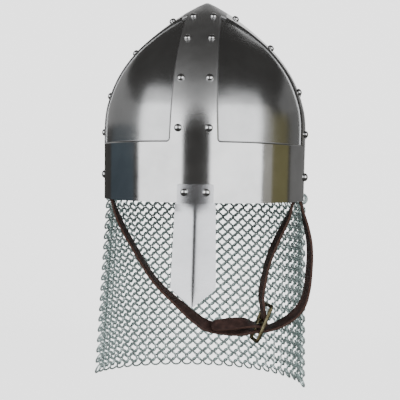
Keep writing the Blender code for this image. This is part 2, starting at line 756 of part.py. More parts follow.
def tube(name, path, radius, sides, closed, material=None, smooth_deg=None):
    """Round bar along a path, closed into a loop or with flat ends."""
    path = np.asarray(path)
    count = len(path)
    if closed:
        tangents = np.roll(path, -1, axis=0) - np.roll(path, 1, axis=0)
    else:
        tangents = np.gradient(path, axis=0)
    plane = np.cross(path[1] - path[0], path[count // 3] - path[0])
    if np.linalg.norm(plane) < 1e-12:
        plane = cross_axes((path[1] - path[0]) / np.linalg.norm(path[1] - path[0]))[0]
    plane /= np.linalg.norm(plane)
    points = []
    for point, tangent in zip(path, tangents):
        tangent = tangent / np.linalg.norm(tangent)
        across = np.cross(plane, tangent)
        for step in range(sides):
            angle = 2 * math.pi * (step + 0.5) / sides
            points.append(point + (plane * math.cos(angle) + across * math.sin(angle)) * radius)
    faces = []
    for place in range(count if closed else count - 1):
        after = (place + 1) % count
        for step in range(sides):
            other = (step + 1) % sides
            faces.append((place * sides + step, place * sides + other, after * sides + other,
                          after * sides + step))
    if not closed:
        faces.append(tuple(range(sides)))
        faces.append(tuple(range((count - 1) * sides, count * sides))[::-1])
    return solid(name, points, faces, material, smooth_deg)


def make_buckle_frame():
    """Rounded oblong loop with a middle bar."""
    centre, down, bar = buckle_axes()
    half_length = (BUCKLE_LENGTH - BUCKLE_WIRE) / 2
    half_width = (BUCKLE_WIDTH - BUCKLE_WIRE) / 2
    corner_radius = BUCKLE_WIRE * BUCKLE_CORNER_SHARE
    path = []
    for corner, (along, across) in enumerate(((1, 1), (1, -1), (-1, -1), (-1, 1))):
        pivot = centre + down * along * (half_length - corner_radius)
        pivot = pivot + bar * across * (half_width - corner_radius)
        for step in range(3):
            angle = math.radians(90 * corner + 45 * step)
            path.append(pivot + (bar * math.cos(angle) + down * math.sin(angle)) * corner_radius)
    frame = tube("buckle_frame", path, BUCKLE_WIRE / 2, 8, True, brass("buckle_frame_brass"), 50)
    ends = [centre - bar * half_width, centre + bar * half_width]
    middle = tube("middle_bar", ends, BUCKLE_WIRE / 2 * MIDDLE_BAR_SHARE, 8, False)
    combine(frame, [middle], "UNION")
    return frame


def prong_strip(name, play, material=None):
    """Strip bent round the middle bar, its tip resting on the loop's low end, widened by a play."""
    centre, down, bar = buckle_axes()
    radius = BUCKLE_WIRE / 2 + FIT_GAP + PRONG_THICKNESS / 2
    path = around_bar(radius, PRONG_WRAP_START_DEG, 90 + BUCKLE_SLOPE_DEG, 7)
    bend = path[-1]
    for share in (PRONG_SHARE / 2, PRONG_SHARE):
        path.append(bend + down * BUCKLE_LENGTH * share)
    turns = [(0.0, math.radians(BUCKLE_YAW_DEG))] * len(path)
    return ribbon(name, path, turns, PRONG_WIDTH + 2 * play, PRONG_THICKNESS + 2 * play, material)


def make_buckle_prong():
    return prong_strip("buckle_prong", 0.0, brass("buckle_prong_brass"))


def settled(sheet, seats):
    """The seats moved along their directions onto the outer face of the sheet."""
    mesh = sheet.data
    tree = BVHTree.FromPolygons([corner.co for corner in mesh.vertices],
                                [face.vertices[:] for face in mesh.polygons])
    result = []
    for name, point, normal in seats:
        start = Vector(point + normal * HALF_WIDTH)
        hit = tree.ray_cast(start, Vector(-normal))[0]
        result.append((name, np.array(hit), normal))
    return result


def nasal_rivet_seats():
    seats = []
    for mark, sign in (("a", -1), ("b", 1)):
        spot = brow_seat(NASAL_SHIFT + sign * NASAL_RIVET_SPACING / 2, NASAL_RIVET_HEIGHT)
        seats.append((f"rivet_nasal_{mark}", *spot))
    return seats


def hanger_holes():
    """Cutters for the row of holes in the rim that the hanger rings pass through."""
    rise = UP * MAIL_RING_RADIUS * math.sin(math.radians(60))
    return [hole_tool(centre + rise + outward * FRAME_PLATE, outward, FRAME_PLATE * 2, HANGER_HOLE_RADIUS)
            for centre, outward in hanger_spots()]


def main():
    clear_scene()
    frame = make_frame()
    panels = [make_panel(name, quarter) for quarter, name in
              enumerate(("panel_front_left", "panel_back_left", "panel_back_right", "panel_front_right"))]
    nasal = make_nasal()
    skull_seats = settled(frame, rivet_seats())
    nasal_seats = settled(frame, nasal_rivet_seats())
    strap_seats = [("rivet_strap_right", *strap_seat(-1)), ("rivet_strap_left", *strap_seat(1))]
    strap_seats = settled(frame, strap_seats)

    all_seats = skull_seats + nasal_seats + strap_seats
    holes = [hole_tool(point, normal, FRAME_PLATE) for _, point, normal in all_seats]
    combine(frame, holes + hanger_holes(), "DIFFERENCE")
    for quarter, panel in enumerate(panels):
        holes = []
        for _, point, normal in skull_seats:
            angle = math.atan2(point[0], -point[1]) % (2 * math.pi)
            if quarter * math.pi / 2 < angle < (quarter + 1) * math.pi / 2:
                holes.append(hole_tool(point, normal, PANEL_SINK + PANEL_PLATE))
        combine(panel, holes, "DIFFERENCE")
    combine(nasal, [hole_tool(point, normal, FIT_GAP) for _, point, normal in nasal_seats], "DIFFERENCE")

    for name, point, normal in skull_seats:
        make_rivet(name, point, normal, 0.0, PANEL_SINK + PANEL_PLATE, RIVET_HEAD_RADIUS)
    for name, point, normal in nasal_seats:
        make_rivet(name, point, normal, NASAL_PLATE + FIT_GAP * 2, FRAME_PLATE, RIVET_HEAD_RADIUS)
    for name, point, normal in strap_seats:
        make_rivet(name, point, normal, 0.0, STRAP_SINK, STRAP_RIVET_HEAD_RADIUS)

    make_aventail()
    make_long_strap()
    make_short_strap()
    make_buckle_frame()
    make_buckle_prong()


main()
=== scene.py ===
"""Looks of the norman helmet: smooth plates, linked mail, leather straps, brass buckle, studio."""
import math
import random

import bmesh
import bpy
import numpy as np
from mathutils import Matrix, Vector


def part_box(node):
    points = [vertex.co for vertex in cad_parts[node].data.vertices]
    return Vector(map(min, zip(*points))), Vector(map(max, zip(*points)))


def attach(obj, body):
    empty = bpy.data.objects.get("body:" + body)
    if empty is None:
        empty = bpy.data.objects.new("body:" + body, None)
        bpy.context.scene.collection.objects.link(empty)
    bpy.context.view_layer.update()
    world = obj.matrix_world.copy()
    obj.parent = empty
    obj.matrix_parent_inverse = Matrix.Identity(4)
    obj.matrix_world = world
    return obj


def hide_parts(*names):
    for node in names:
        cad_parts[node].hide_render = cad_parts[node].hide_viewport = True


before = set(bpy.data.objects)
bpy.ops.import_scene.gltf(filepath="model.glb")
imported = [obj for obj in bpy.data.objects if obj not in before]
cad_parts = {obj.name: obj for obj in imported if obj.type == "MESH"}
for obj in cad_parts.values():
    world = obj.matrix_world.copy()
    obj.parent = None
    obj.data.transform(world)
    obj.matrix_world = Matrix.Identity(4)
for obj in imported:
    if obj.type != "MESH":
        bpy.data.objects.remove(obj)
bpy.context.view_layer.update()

MM = 0.001

# skull, in metres
HALF_WIDTH = 102.5 * MM
HALF_LENGTH = 111.75 * MM
DOME_HEIGHT = 202.5 * MM
BROW_HEIGHT = 55 * MM
PLATE = 1.4 * MM
PANEL_DEPTH = 1.7 * MM
FRONT_BAND_FOOT = 44 * MM
FRONT_BAND_CROWN = 34 * MM
SIDE_BAND = 60 * MM
CORNER_RADIUS = 2.5 * MM
EDGE_ROUND = 1.0 * MM
CROTCH_HEIGHT = 180 * MM
FRONT_BAND_TAPER = (FRONT_BAND_FOOT - FRONT_BAND_CROWN) / 2 / (CROTCH_HEIGHT - BROW_HEIGHT)
PANEL_FOOT = 41 * MM
PANEL_TOP = 187 * MM
PANEL_FRONT_START = FRONT_BAND_CROWN / 6
PANEL_SIDE_START = SIDE_BAND / 6
SEAM_SIDE_START = 60 * MM
CUTTER_REACH = 0.2
CUTTER_OVER = 20 * MM
# share of the dome height, share of the half width
SKULL_PROFILE = (
    (0.000, 0.996), (0.200, 1.001), (0.300, 1.004), (0.380, 1.003), (0.440, 0.990), (0.500, 0.960),
    (0.560, 0.9185), (0.620, 0.8610), (0.680, 0.7850), (0.740, 0.6890), (0.800, 0.5680), (0.860, 0.4310),
    (0.920, 0.2780), (0.960, 0.1560), (0.985, 0.0720), (1.000, 0.0),
)
PROFILE_STEPS = 110
SPIN_STEPS = 192

# rivets
RIVET_HEAD_RADIUS = 3.6 * MM
RIVET_HEAD_HEIGHT = 3.2 * MM
RIVET_SHANK_RADIUS = 1.7 * MM
RIVET_SHANK_DEPTH = 3.0 * MM
RIVET_CLENCH_RADIUS = 2.8 * MM
RIVET_DEPTH = 4.5 * MM
RIVET_SIDES = 24
NASAL_RIVET_LIFT = 0.5 * MM
STRAP_RIVET_SIZE = 4.2 / 3.6

# nose guard
NASAL_PLATE = 2 * MM
NASAL_SHIFT = 2.6 * MM
NASAL_LEAN = math.tan(math.radians(6.5))
NASAL_RIDGE = 4.5 * MM
NASAL_FOLD = 1.5 * MM
NASAL_RIDGE_RUN = 0.14
NASAL_STAND_OFF = 0.45 * MM
NASAL_EDGE = 0.4 * MM
NASAL_TAB_HALF = 16.2 * MM
NASAL_TOP_HALF = 17.85 * MM
NASAL_LOW_HALF = 19.75 * MM
NASAL_STRAIGHT = 76 * MM
NASAL_LENGTH = 91.5 * MM
# heights of the tab's rows, in millimetres
NASAL_TAB_ROWS = (16.5, 15.9, 8.0, 0.9, 0.1)
# columns of one half, as shares of its half width
NASAL_HALF_COLUMNS = (1.0, 0.85, 0.7, 0.55, 0.4, 0.28, 0.19, 0.13, 0.09, 0.06, 0.035, 0.015)
# rows of the point, as shares of its height
NASAL_POINT_SHARES = (0.25, 0.5, 0.75, 0.97)
NASAL_BLADE_STEPS = 14

# mail
RING_RADIUS = 5.3 * MM
WIRE_RADIUS = 1.05 * MM
MAIL_COLUMNS = 27
MAIL_ROWS = 33
MAIL_PITCH = 12.3 * MM
FIRST_ROW = -7.0 * MM
LAST_ROW = -193.7 * MM
RING_TILT = math.radians(27)
# share of the up and down lean that also turns a ring sideways
RING_SWING = 0.4
RING_PLAY_DEG = 1.2
RING_SIDES = 14
WIRE_SIDES = 5
MAIL_FLARE = 5.5 * MM
MAIL_SWAY = 3.3 * MM
RIGHT_RISE = 0.066
LEFT_RISE = 0.036
MAIL_ARC = math.pi * 0.65
MAIL_ARC_SPOTS = 721
HANGER_HEIGHT = 1.5 * MM
HANGER_INSET = 0.8 * MM

# straps
STRAP_WIDTH = 14 * MM
STRAP_THICKNESS = 2.6 * MM
STRAP_DROP = 130 * MM
STRAP_SINK = 4.9 * MM
STRAP_RIVET_HEIGHT = 24 * MM
STRAP_FORWARD = 12 * MM
STRAP_HEM = 9 * MM
STRAP_TUCK = 6 * MM
STRAP_EASE = 20 * MM
STRAP_STEP = 2.4 * MM
STRAP_EDGE = 0.45 * MM
STRAP_COLUMNS = (-0.5, -0.25, 0.0, 0.25, 0.5)
STRAP_TIP_WIDTHS = (0.94, 0.80, 0.5)
STRAP_WRAP_DEG = (20, -95)
STRAP_WRAP_STEPS = 8
# share of the half width, share of the drop, forward in metres, turn in degrees
LONG_STRAP = (
    (-0.915, 0.024, 0.012, 0), (-0.863, 0.136, 0.013, 4), (-0.774, 0.278, 0.013, 6),
    (-0.696, 0.375, 0.014, 6), (-0.602, 0.498, 0.014, 6), (-0.508, 0.608, 0.014, 8),
    (-0.398, 0.703, 0.015, 10), (-0.280, 0.785, 0.015, 14), (-0.187, 0.848, 0.015, 20),
    (-0.060, 0.930, 0.015, 28), (0.058, 0.987, 0.014, 36), (0.175, 1.008, 0.013, 38),
    (0.332, 1.018, 0.0125, 36), (0.450, 1.018, 0.0135, 22), (0.495, 1.012, 0.0145, 10),
    (0.548, 1.006, 0.015, 6), (0.620, 0.998, 0.0155, 6), (0.710, 0.977, 0.016, 8),
    (0.821, 0.933, 0.016, 14), (0.923, 0.871, 0.016, 18), (0.997, 0.788, 0.016, 20),
    (1.037, 0.675, 0.0155, 20), (1.053, 0.551, 0.0145, 20), (1.060, 0.433, 0.014, 18),
    (1.052, 0.313, 0.0135, 16), (1.022, 0.198, 0.013, 13), (0.992, 0.108, 0.012, 8),
    (0.969, 0.021, 0.012, 0),
)
SHORT_STRAP = (
    (0.888, 0.022, 0.0125, 0), (0.852, 0.111, 0.013, -10), (0.790, 0.215, 0.0135, -16),
    (0.736, 0.305, 0.014, -19), (0.688, 0.395, 0.0145, -19), (0.650, 0.485, 0.015, -18),
    (0.625, 0.574, 0.015, -15), (0.604, 0.664, 0.015, -11), (0.592, 0.745, 0.015, -5),
    (0.603, 0.815, 0.015, 0),
)
SHORT_STRAP_END = (
    (0.515, 0.962, 0.016, -8), (0.450, 0.950, 0.0185, -26), (0.350, 0.954, 0.020, -38),
    (0.240, 0.966, 0.020, -38), (0.112, 0.979, 0.0195, -36),
)

# buckle
BUCKLE_CENTRE = Vector((0.595 * HALF_WIDTH, -0.015, -0.945 * STRAP_DROP))
BUCKLE_LENGTH = 41 * MM
BUCKLE_WIDTH = 27 * MM
BUCKLE_WIRE = 3.8 * MM
BUCKLE_CORNER = BUCKLE_WIRE * 0.9
MIDDLE_BAR_RADIUS = BUCKLE_WIRE / 2 * 0.98
BUCKLE_SLOPE = math.radians(67)
BUCKLE_YAW = math.radians(18)
FOLD_GAP = 0.3 * MM
PRONG_WIDTH = 3.0 * MM
PRONG_THICKNESS = 1.8 * MM
PRONG_EDGE = 0.6 * MM
PRONG_SHARE = 0.46
PRONG_STEPS = 8
PRONG_WRAP_DEG = (-50, 157)
PRONG_WRAP_STEPS = 14

# steel
PANEL_TINT = (0.86, 0.865, 0.87)
PANEL_DULL = 0.10
RIVET_DULL = 0.06
NASAL_TINT = (1.0, 1.005, 1.04)
NASAL_DULL = 0.10

# studio
FLOOR = -0.36
STAGE_HALF_WIDTH = 2.5
STAGE_FRONT = -1.6
STAGE_BACK = 1.0
STAGE_TOP = 2.2
COVE_RADIUS = 0.5
STAGE_GLOW = 2.1
CARD_AIM = Vector((0, 0, 0.06))
SOFTBOX_WHITE = (0.98, 0.99, 1.0)
PLAIN_WHITE = (1.0, 1.0, 1.0)
# name, azimuths from the front and elevations in degrees, distance in metres, glow, colour
CARDS = (
    ("left softbox", (-73, -18), (-14, 25), 1.8, 2.75, SOFTBOX_WHITE),
    ("left softbox top", (-73, -18), (25, 38), 1.8, 1.2, SOFTBOX_WHITE),
    ("right softbox", (13, 75), (-14, 25), 1.8, 2.75, SOFTBOX_WHITE),
    ("right softbox top", (13, 75), (25, 37), 1.8, 1.1, SOFTBOX_WHITE),
    ("blue card", (-125, -80), (-14, 3), 1.6, 0.06, (0.25, 0.65, 1.0)),
    ("right edge card", (76, 88), (-14, 22), 1.7, 0.38, (1.0, 0.97, 0.86)),
    ("olive card", (88, 114), (-14, 12), 1.6, 0.13, (1.0, 0.88, 0.22)),
    ("left rear card", (-160, -78), (4, 26), 1.6, 0.28, PLAIN_WHITE),
    ("right rear card", (106, 160), (12, 26), 1.6, 0.18, PLAIN_WHITE),
    ("right low card", (118, 160), (-14, 12), 1.6, 0.13, PLAIN_WHITE),
    ("back softbox", (164, 196), (-5, 45), 1.8, 1.2, PLAIN_WHITE),
)
ROOM_COLOUR = (1.0, 0.97, 0.93, 1.0)
ROOM_GLOW = 0.062

# camera
CAMERA_AZIMUTH = math.radians(5.5)
CAMERA_DISTANCE = 0.790
CAMERA_HEIGHT = 27 * MM
CAMERA_ROLL = math.radians(0.9)
FOCAL_SHARE = 762.9 / 400
SHIFT_ACROSS = -0.0118
SHIFT_UP = -0.0683
SENSOR = 36

random.seed(7)


# meshes

def only(*pieces):
    """Selects these pieces and nothing else."""
    if bpy.context.object and bpy.context.object.mode != "OBJECT":
        bpy.ops.object.mode_set(mode="OBJECT")
    bpy.ops.object.select_all(action="DESELECT")
    for piece in pieces:
        piece.select_set(True)
    bpy.context.view_layer.objects.active = pieces[0]


def apply(piece, kind, **settings):
    """Adds a modifier to the piece and applies it."""
    only(piece)
    modifier = piece.modifiers.new(kind.lower(), kind)
    for name, value in settings.items():
        setattr(modifier, name, value)
    bpy.ops.object.modifier_apply(modifier=modifier.name)


def smooth(piece, degrees=35):
    only(piece)
    bpy.ops.object.shade_smooth_by_angle(angle=math.radians(degrees))


def wire_line(name, points, closed=False):
    """An edge line through the points, as a piece of its own."""
    mesh = bpy.data.meshes.new(name)
    edges = [(index, index + 1) for index in range(len(points) - 1)]
    if closed:
        edges.append((len(points) - 1, 0))
    mesh.from_pydata(points, edges, [])
    line = bpy.data.objects.new(name, mesh)
    bpy.context.scene.collection.objects.link(line)
    only(line)
    return line


def drawn_out(name, rows):
    """A sheet drawn out row by row from its first edge."""
    sheet = wire_line(name, rows[0])
    bpy.ops.object.mode_set(mode="EDIT")
    bpy.ops.mesh.select_all(action="SELECT")
    for row in rows[1:]:
        bpy.ops.mesh.extrude_region_move(TRANSFORM_OT_translate={"value": (0, 0, 0)})
        shape = bmesh.from_edit_mesh(sheet.data)
        fresh = [corner for corner in shape.verts if corner.select]
        for corner, place in zip(fresh, row):
            corner.co = place
    bpy.ops.object.mode_set(mode="OBJECT")
    return sheet


def outward(piece):
    """Merges doubles and turns all faces outward."""
    only(piece)
    bpy.ops.object.mode_set(mode="EDIT")
    bpy.ops.mesh.select_all(action="SELECT")
    bpy.ops.mesh.remove_doubles(threshold=1e-6)
    bpy.ops.mesh.normals_make_consistent(inside=False)
    bpy.ops.object.mode_set(mode="OBJECT")


def turned(name, profile, steps, stretch=1.0):
    """A profile of (radius, height) spun round the Z axis, then stretched from front to back."""
    piece = wire_line(name, [(radius, 0, height) for radius, height in profile])
    bpy.ops.object.mode_set(mode="EDIT")
    bpy.ops.mesh.select_all(action="SELECT")
    bpy.ops.mesh.spin(steps=steps, angle=2 * math.pi, center=(0, 0, 0), axis=(0, 0, 1))
    bpy.ops.mesh.select_all(action="SELECT")
    bpy.ops.mesh.remove_doubles(threshold=1e-6)
    bpy.ops.transform.resize(value=(1, stretch, 1), center_override=(0, 0, 0))
    bpy.ops.mesh.select_all(action="SELECT")
    bpy.ops.mesh.normals_make_consistent(inside=False)
    bpy.ops.object.mode_set(mode="OBJECT")
    return piece


def cut_away(piece, point, normal):
    """Cuts the piece along a plane and drops what lies on the normal's side."""
    only(piece)
    bpy.ops.object.mode_set(mode="EDIT")
    bpy.ops.mesh.select_all(action="SELECT")
    bpy.ops.mesh.bisect(plane_co=point, plane_no=normal, clear_outer=True)
    bpy.ops.object.mode_set(mode="OBJECT")


def copy_of(piece, name, matrix=None):
    """A copy with its own mesh, moved by the matrix."""
    twin = piece.copy()
    twin.data = piece.data.copy()
    twin.name = name
    bpy.context.scene.collection.objects.link(twin)
    if matrix:
        twin.data.transform(matrix)
    return twin


def joined(name, pieces):
    only(*pieces)
    bpy.ops.object.join()
    pieces[0].name = name
    return pieces[0]


def dressed(piece, finish, slot, *nodes):
    """Gives the piece its finish, hangs it under the root body and hides the CAD nodes that it stands for.
    """
    piece.data.materials.clear()
    for material in finish if isinstance(finish, tuple) else (finish,):
        piece.data.materials.append(material)
    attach(piece, "root")
    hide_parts(*nodes)
    return piece


# curves

def travel(points):
    return np.concatenate(([0.0], np.cumsum(np.linalg.norm(np.diff(points, axis=0), axis=1))))


def hermite(knots, values, spots):
    """Smooth curve through the values at the knots, read at the spots."""
    knots = np.asarray(knots, float)
    values = np.asarray(values, float)
    steps = np.diff(knots)[:, None]
    slopes = np.diff(values, axis=0) / steps
    rates = np.empty_like(values)
    rates[1:-1] = (slopes[:-1] * steps[1:] + slopes[1:] * steps[:-1]) / (steps[1:] + steps[:-1])
    rates[0] = slopes[0]
    rates[-1] = slopes[-1]
    place = np.clip(np.searchsorted(knots, spots, side="right") - 1, 0, len(knots) - 2)
    step = steps[place]
    share = ((spots - knots[place]) / steps[place][:, 0])[:, None]
    start = (1 + 2 * share) * (1 - share) ** 2 * values[place]
    start = start + share * (1 - share) ** 2 * step * rates[place]
    end = share ** 2 * (3 - 2 * share) * values[place + 1]
    return start + end + share ** 2 * (share - 1) * step * rates[place + 1]


def smooth_path(points, turns, spacing):
    """Smooth line through the points at an even spacing, with the turns carried along it."""
    knots = travel(np.array(points))
    spots = np.linspace(0, knots[-1], max(int(knots[-1] / spacing), 2) + 1)
    return hermite(knots, points, spots), np.interp(spots, knots, turns)


class Skull:
    """The skull's outer surface, by angle from the front and height above the rim."""

    def __init__(self):
        table = np.array(SKULL_PROFILE)
        outline = np.column_stack((table[:, 1] * HALF_WIDTH, table[:, 0] * DOME_HEIGHT))
        outline = np.vstack((outline, outline[-2] * (-1.0, 1.0)))
        knots = travel(outline)
        spots = np.linspace(0.0, knots[-2], PROFILE_STEPS + 1)
        self.line = hermite(knots, outline, spots)
        self.line[-1] = (0.0, DOME_HEIGHT)

    def radius(self, height):
        return float(np.interp(height, self.line[:, 1], self.line[:, 0]))

    def slope(self, height):
        """How much the radius shrinks for each metre of height."""
        step = 1 * MM
        return (self.radius(height - step) - self.radius(height + step)) / (2 * step)

    def point(self, angle, height, sink=0.0):
        share = self.radius(height) / HALF_WIDTH
        spot = Vector((HALF_WIDTH * share * math.sin(angle), -HALF_LENGTH * share * math.cos(angle), height))
        return spot - self.normal(angle, height) * sink

    def normal(self, angle, height):
        shrink = self.slope(height) / HALF_WIDTH
        return Vector((math.sin(angle) / HALF_WIDTH, -math.cos(angle) / HALF_LENGTH, shrink)).normalized()


SKULL = Skull()


# finishes

class Level:
    """A number that runs through a finish: arithmetic on it adds Math nodes."""

    def __init__(self, finish, socket):
        self.finish = finish
        self.socket = socket

    def math(self, operation, first, second):
        node = self.finish.add("ShaderNodeMath", {"operation": operation}, {0: first, 1: second})
        return Level(self.finish, node.outputs[0])

    def __add__(self, other):
        return self.math("ADD", self, other)

    def __radd__(self, other):
        return self.math("ADD", other, self)

    def __sub__(self, other):
        return self.math("SUBTRACT", self, other)

    def __rsub__(self, other):
        return self.math("SUBTRACT", other, self)

    def __mul__(self, other):
        return self.math("MULTIPLY", self, other)

    def __abs__(self):
        return self.math("ABSOLUTE", self, 0.0)

    def __lt__(self, other):
        return self.math("LESS_THAN", self, other)

    def __gt__(self, other):
        return self.math("GREATER_THAN", self, other)

    def __pow__(self, other):
        return self.math("POWER", self, other)

    def least(self, other):
        return self.math("MINIMUM", self, other)

    def most(self, other):
        return self.math("MAXIMUM", self, other)


class Finish:
    """A material in the making."""

    def __init__(self, name, **constants):
        self.material = bpy.data.materials.new(name)
        self.material.use_nodes = True
        self.tree = self.material.node_tree
        self.shader = self.tree.nodes["Principled BSDF"]
        for label, value in constants.items():
            self.shader.inputs[label.replace("_", " ")].default_value = value
        self.place = self.add("ShaderNodeTexCoord").outputs["Object"]

    def add(self, kind, settings=None, inputs=None):
        """Adds a node: its settings first, then the values or links of its sockets."""
        node = self.tree.nodes.new(kind)
        for name, value in (settings or {}).items():
            if name == "stops":
                self.set_stops(node.color_ramp, value)
            else:
                setattr(node, name, value)
        for name, value in (inputs or {}).items():
            self.feed(node.inputs[name], value)
        return node

    def set_stops(self, ramp, stops):
        while len(ramp.elements) < len(stops):
            ramp.elements.new(0.5)
        for element, (position, colour) in zip(ramp.elements, stops):
            element.position = position
            element.color = (*colour, 1.0)

    def feed(self, socket, value):
        if isinstance(value, Level):
            value = value.socket
        if isinstance(value, bpy.types.NodeSocket):
            self.tree.links.new(value, socket)
        else:
            socket.default_value = value

    def stretched(self, scale):
        mapping = self.add("ShaderNodeMapping", inputs={"Vector": self.place, "Scale": scale})
        return mapping.outputs["Vector"]

    def noise(self, scale, detail=3.0, roughness=0.5, place=None):
        node = self.add("ShaderNodeTexNoise", inputs={
            "Vector": place or self.place, "Scale": scale, "Detail": detail, "Roughness": roughness})
        return Level(self, node.outputs["Fac"])

    def ramp(self, level, *stops):
        """A level turned into a colour or a grey by stops of (position, colour)."""
        node = self.add("ShaderNodeValToRGB", {"stops": stops}, {"Fac": level})
        return node.outputs["Color"]

    def band(self, level, low, high):
        """0 below low, 1 above high, even between."""
        node = self.add("ShaderNodeMapRange", {"interpolation_type": "SMOOTHSTEP"}, {
            "Value": level, "From Min": low, "From Max": high})
        return Level(self, node.outputs["Result"])

    def mix(self, factor, first, second):
        node = self.add("ShaderNodeMix", {"data_type": "RGBA"}, {"Factor": factor})
        self.feed(node.inputs[6], first)
        self.feed(node.inputs[7], second)
        return node.outputs[2]

    def axis(self, name):
        node = self.add("ShaderNodeSeparateXYZ", inputs={"Vector": self.place})
        return Level(self, node.outputs[name])

    def done(self, colour, roughness, height, depth):
        """Feeds the shader; height times depth, in metres, is the relief that the bump shows."""
        self.feed(self.shader.inputs["Base Color"], colour)
        self.feed(self.shader.inputs["Roughness"], roughness)
        bump = self.add("ShaderNodeBump", inputs={"Height": height, "Distance": depth, "Strength": 1.0})
        self.feed(self.shader.inputs["Normal"], bump.outputs["Normal"])
        return self.material


def window_depth(finish):
    """How far a spot lies inside the nearest window: below zero on the bands, above zero on the plates."""
    height = finish.axis("Z") - BROW_HEIGHT
    from_front = abs(finish.axis("X")) + height * FRONT_BAND_TAPER - FRONT_BAND_FOOT / 2
    from_side = abs(finish.axis("Y")) - SIDE_BAND / 2
    near = (CORNER_RADIUS - from_front).most(0.0)
    low = (CORNER_RADIUS - height).most(0.0)
    return (CORNER_RADIUS - (near ** 2 + low ** 2) ** 0.5).least(from_side)


def polished_steel(name, tint=(1.0, 1.0, 1.0), dull=0.0, part="plain"):
    """Satin steel with soft smudges and fine rubbing marks.

    The bands get ground edges round their windows and a painted shade line where the side bands meet the
    brow band; the plates get painted shade along their windows' edges.
    """
    finish = Finish(name, Metallic=1.0)
    smudge = finish.noise(16, 4, 0.55)
    cloud = finish.noise(55, 5, 0.6)
    rubbed = finish.noise(110, 3, 0.6, finish.stretched((1.0, 1.0, 14.0)))
    pits = finish.noise(900, 2, 0.5)
    dark = tuple(0.49 * share for share in tint)
    light = tuple(0.69 * share for share in tint)
    colour = finish.ramp(smudge * 0.7 + cloud * 0.3, (0.30, dark), (0.70, light))
    roughness = 0.04 + dull + smudge * 0.05 + rubbed * 0.08 + cloud * 0.05
    height = rubbed * 0.014 * MM + pits * 0.006 * MM + cloud * 0.02 * MM
    if part == "bands":
        in_band = abs(finish.axis("X")) < FRONT_BAND_FOOT / 2
        front_band = finish.band(finish.axis("Z"), BROW_HEIGHT + 4 * MM, BROW_HEIGHT + 45 * MM) * in_band
        roughness = roughness + front_band * 0.28
        edge = finish.band(window_depth(finish), -EDGE_ROUND, 0.6 * EDGE_ROUND)
        height = height - edge * 0.8 * MM
        near_side = abs(finish.axis("X")) > SEAM_SIDE_START
        on_band = abs(finish.axis("Y")) < SIDE_BAND / 2
        off_line = finish.band(abs(finish.axis("Z") - BROW_HEIGHT), 0.15 * MM, 0.55 * MM)
        # painted shade: a dark line along the brow band's top on the side bands, where the step between the
        # bands would lie in shadow; the bump also sinks it as a shallow groove
        seam_and_shade = (1 - off_line) * near_side * on_band
        height = height - seam_and_shade * 0.08 * MM
        colour = finish.mix(seam_and_shade * 0.75, colour, (0.06, 0.06, 0.06, 1.0))
    if part == "plates":
        # painted shade: the plates darken towards the window edges, where they lap under the bands and
        # shadow would fall
        seam_and_shade = 1 - finish.band(window_depth(finish), 0.3 * MM, 1.2 * MM)
        colour = finish.mix(seam_and_shade * 0.45, colour, (0.10, 0.10, 0.10, 1.0))
        roughness = roughness + seam_and_shade * 0.3
    return finish.done(colour, roughness, height, 1.0)


def mail_wire(name):
    """Galvanised wire, a little dull and uneven."""
    finish = Finish(name, Metallic=0.6)
    patch = finish.noise(38, 3, 0.6)
    grain = finish.noise(700, 3, 0.6)
    colour = finish.ramp(patch * 0.6 + grain * 0.4, (0.32, (0.50, 0.60, 0.585)), (0.68, (0.78, 0.90, 0.88)))
    return finish.done(colour, 0.30 + grain * 0.2, grain, 0.03 * MM)


def strap_leather(name):
    """Dark oiled leather with a fine grain and worn, redder spots."""
    finish = Finish(name, Specular_IOR_Level=0.3)
    wear = finish.noise(120, 4, 0.6)
    grain_node = finish.add("ShaderNodeTexVoronoi", {"feature": "DISTANCE_TO_EDGE"},
                            {"Vector": finish.place, "Scale": 1100.0})
    grain = finish.band(Level(finish, grain_node.outputs["Distance"]), 0.0, 0.25)
    creases = finish.noise(260, 4, 0.65)
    colour = finish.ramp(wear, (0.35, (0.038, 0.022, 0.019)), (0.55, (0.062, 0.035, 0.030)),
                         (0.75, (0.112, 0.060, 0.050)))
    return finish.done(colour, 0.42 + wear * 0.2 - grain * 0.05, grain * 0.5 + creases, 0.16 * MM)


def cut_leather(name):
    """The straps' cut edges: fibrous and matt."""
    finish = Finish(name, Specular_IOR_Level=0.2)
    fibres = finish.noise(800, 4, 0.7)
    colour = finish.ramp(fibres, (0.3, (0.048, 0.027, 0.022)), (0.7, (0.15, 0.085, 0.068)))
    return finish.done(colour, 0.62 + fibres * 0.2, fibres, 0.12 * MM)


def old_brass(name):
    """Brass in brown-green and brighter patches, spread at random."""
    finish = Finish(name, Metallic=1.0)
    patch = finish.noise(180, 4, 0.6)
    grain = finish.noise(900, 3, 0.6)
    colour = finish.ramp(patch, (0.35, (0.08, 0.065, 0.030)), (0.5, (0.165, 0.14, 0.078)),
                         (0.7, (0.29, 0.265, 0.165)))
    return finish.done(colour, 0.30 + patch * 0.15 + grain * 0.1, grain, 0.05 * MM)


def studio_white(name, glow):
    finish = Finish(name, Roughness=0.9)
    finish.shader.inputs["Emission Color"].default_value = (1.0, 1.0, 1.0, 1.0)
    finish.shader.inputs["Emission Strength"].default_value = glow
    finish.shader.inputs["Base Color"].default_value = (0.9, 0.9, 0.9, 1.0)
    return finish.material


# skull

def dome_sheet(name):
    """The skull's outer skin: the profile spun round and stretched to an oval."""
    return turned(name, [tuple(spot) for spot in SKULL.line], SPIN_STEPS, HALF_LENGTH / HALF_WIDTH)


